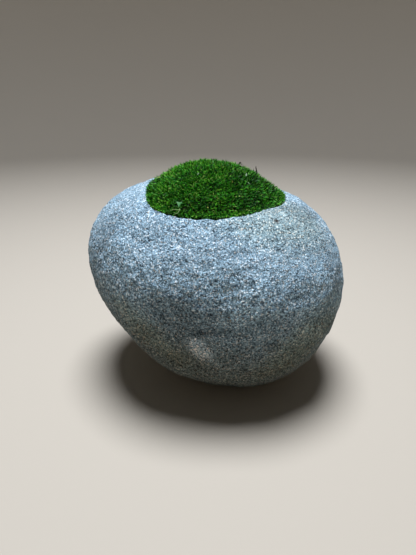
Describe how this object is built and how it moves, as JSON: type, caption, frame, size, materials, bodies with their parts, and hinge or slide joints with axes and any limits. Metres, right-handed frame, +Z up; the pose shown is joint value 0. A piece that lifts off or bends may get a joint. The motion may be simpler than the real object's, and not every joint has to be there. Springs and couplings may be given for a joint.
{
  "type": "mossy rock",
  "caption": "Rounded river cobble with a hollow ground into its crown and a cushion of live moss filling the hollow, standing on a worn flat as a table ornament.",
  "frame": {"origin": "on the ground, under the middle of the cobble's length and depth", "axes": "+Z up from the flat that the cobble rests on, +X along the cobble's length towards its lower end, +Y towards its back"},
  "size_m": [0.2026, 0.1695, 0.1811],
  "materials": {
    "stone": "matte",
    "moss": "matte",
    "leaflet": "satin",
    "sprig": "matte"
  },
  "bodies": {
    "root": {"cobble": "stone", "moss_cushion": "moss", "leaflet": "leaflet", "sprig": "sprig"}
  },
  "joints": []
}
